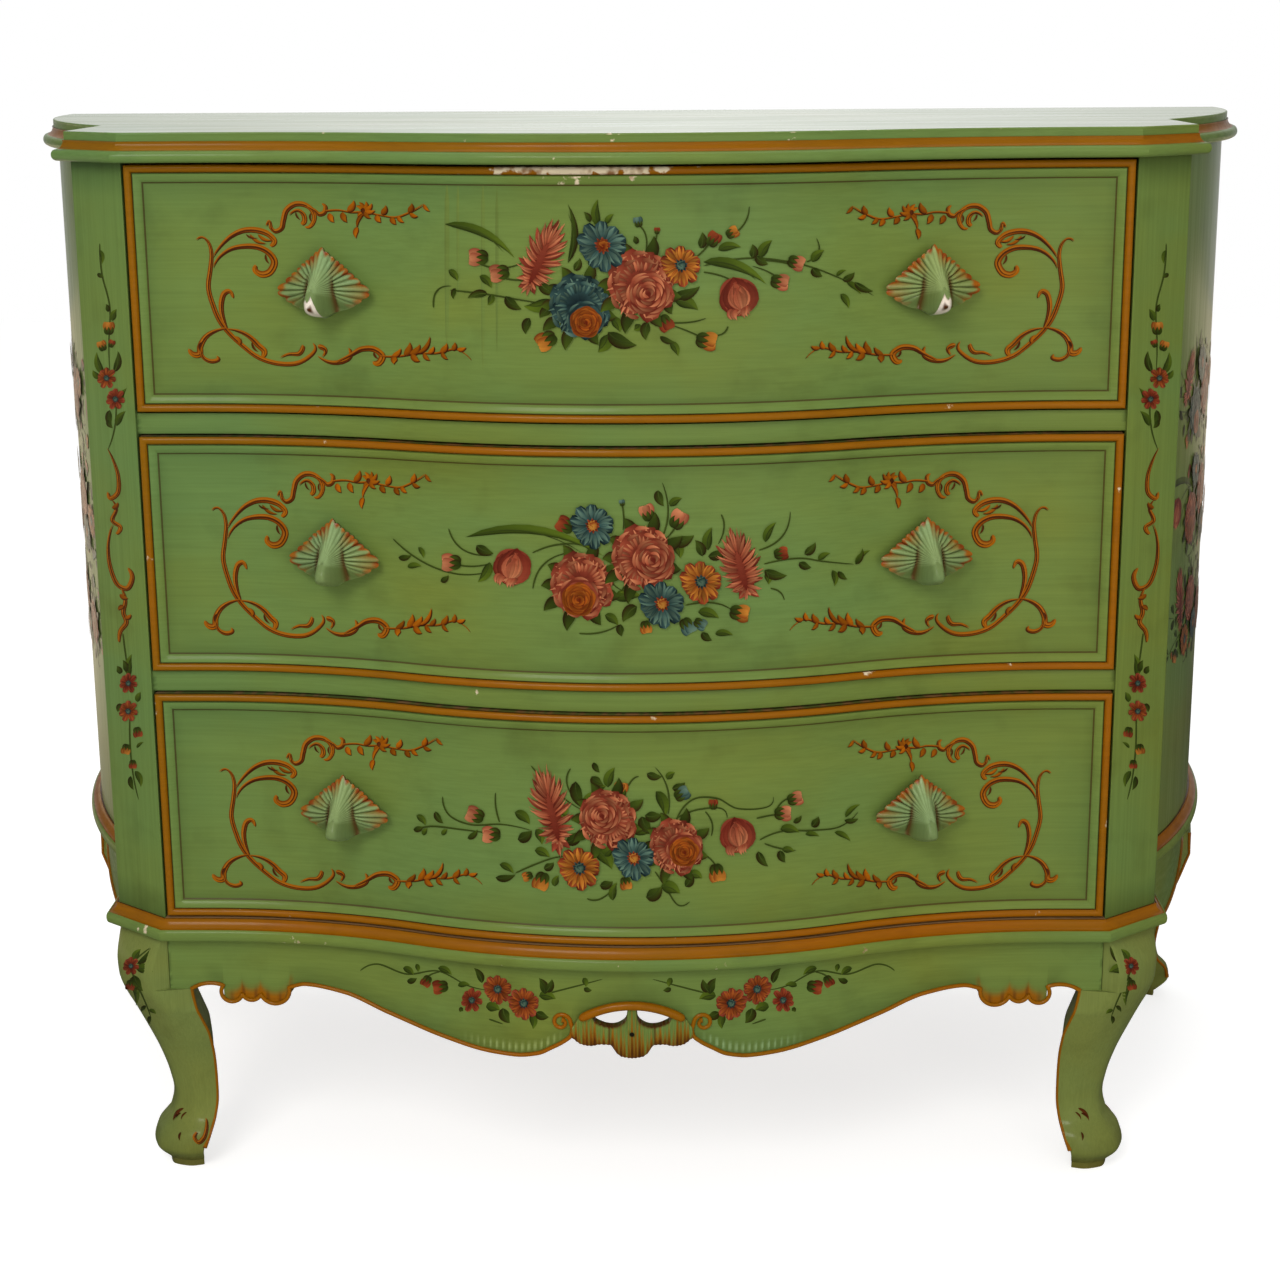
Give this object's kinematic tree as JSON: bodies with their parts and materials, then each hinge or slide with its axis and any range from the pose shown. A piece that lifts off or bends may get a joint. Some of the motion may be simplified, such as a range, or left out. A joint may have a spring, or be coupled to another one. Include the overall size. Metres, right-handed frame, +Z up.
{
  "type": "serpentine commode",
  "caption": "Painted serpentine chest of drawers with canted posts, bowed sides, carved leaf pulls, a scalloped apron with a pierced shell, and cabriole legs.",
  "frame": {"origin": "on the floor, under the middle of the object's box", "axes": "+X to the right when facing the drawers, +Y to the back, +Z up"},
  "size_m": [1.086, 0.5419, 0.859],
  "materials": {
    "green_paint": "sage green paint with painted flower sprays under a worn satin varnish",
    "ochre_trim": "ochre and umber glaze on carved and moulded edges",
    "bare_wood": "bare sawn softwood"
  },
  "bodies": {
    "carcass": {"apron_shell": "ochre_trim", "back_panel": "bare_wood", "base_moulding_front": "green_paint", "base_moulding_left": "green_paint", "base_moulding_left_corner": "green_paint", "base_moulding_right": "green_paint", "base_moulding_right_corner": "green_paint", "bottom_board": "bare_wood", "front_apron": "green_paint", "left_apron": "green_paint", "left_bottom_runner": "bare_wood", "left_front_leg": "green_paint", "left_front_post": "green_paint", "left_middle_runner": "bare_wood", "left_rear_leg": "green_paint", "left_rear_post": "bare_wood", "left_side_panel": "green_paint", "left_top_runner": "bare_wood", "lower_rail": "green_paint", "rear_apron": "green_paint", "right_apron": "green_paint", "right_bottom_runner": "bare_wood", "right_front_leg": "green_paint", "right_front_post": "green_paint", "right_middle_runner": "bare_wood", "right_rear_leg": "green_paint", "right_rear_post": "bare_wood", "right_side_panel": "green_paint", "right_top_runner": "bare_wood", "top_board": "green_paint", "top_rail": "bare_wood", "upper_rail": "green_paint"},
    "bottom_drawer": {"bottom_drawer_back": "bare_wood", "bottom_drawer_bottom": "bare_wood", "bottom_drawer_edge_moulding": "ochre_trim", "bottom_drawer_front": "green_paint", "bottom_drawer_left_knob": "green_paint", "bottom_drawer_left_side": "bare_wood", "bottom_drawer_right_knob": "green_paint", "bottom_drawer_right_side": "bare_wood"},
    "middle_drawer": {"middle_drawer_back": "bare_wood", "middle_drawer_bottom": "bare_wood", "middle_drawer_edge_moulding": "ochre_trim", "middle_drawer_front": "green_paint", "middle_drawer_left_knob": "green_paint", "middle_drawer_left_side": "bare_wood", "middle_drawer_right_knob": "green_paint", "middle_drawer_right_side": "bare_wood"},
    "top_drawer": {"top_drawer_back": "bare_wood", "top_drawer_bottom": "bare_wood", "top_drawer_edge_moulding": "ochre_trim", "top_drawer_front": "green_paint", "top_drawer_left_knob": "green_paint", "top_drawer_left_side": "bare_wood", "top_drawer_right_knob": "green_paint", "top_drawer_right_side": "bare_wood"}
  },
  "joints": [
    {"name": "bottom_drawer_slide", "type": "slide", "parent": "carcass", "child": "bottom_drawer", "axis": [0, -1, 0], "range_m": [0, 0.33]},
    {"name": "middle_drawer_slide", "type": "slide", "parent": "carcass", "child": "middle_drawer", "axis": [0, -1, 0], "range_m": [0, 0.33]},
    {"name": "top_drawer_slide", "type": "slide", "parent": "carcass", "child": "top_drawer", "axis": [0, -1, 0], "range_m": [0, 0.33]}
  ]
}
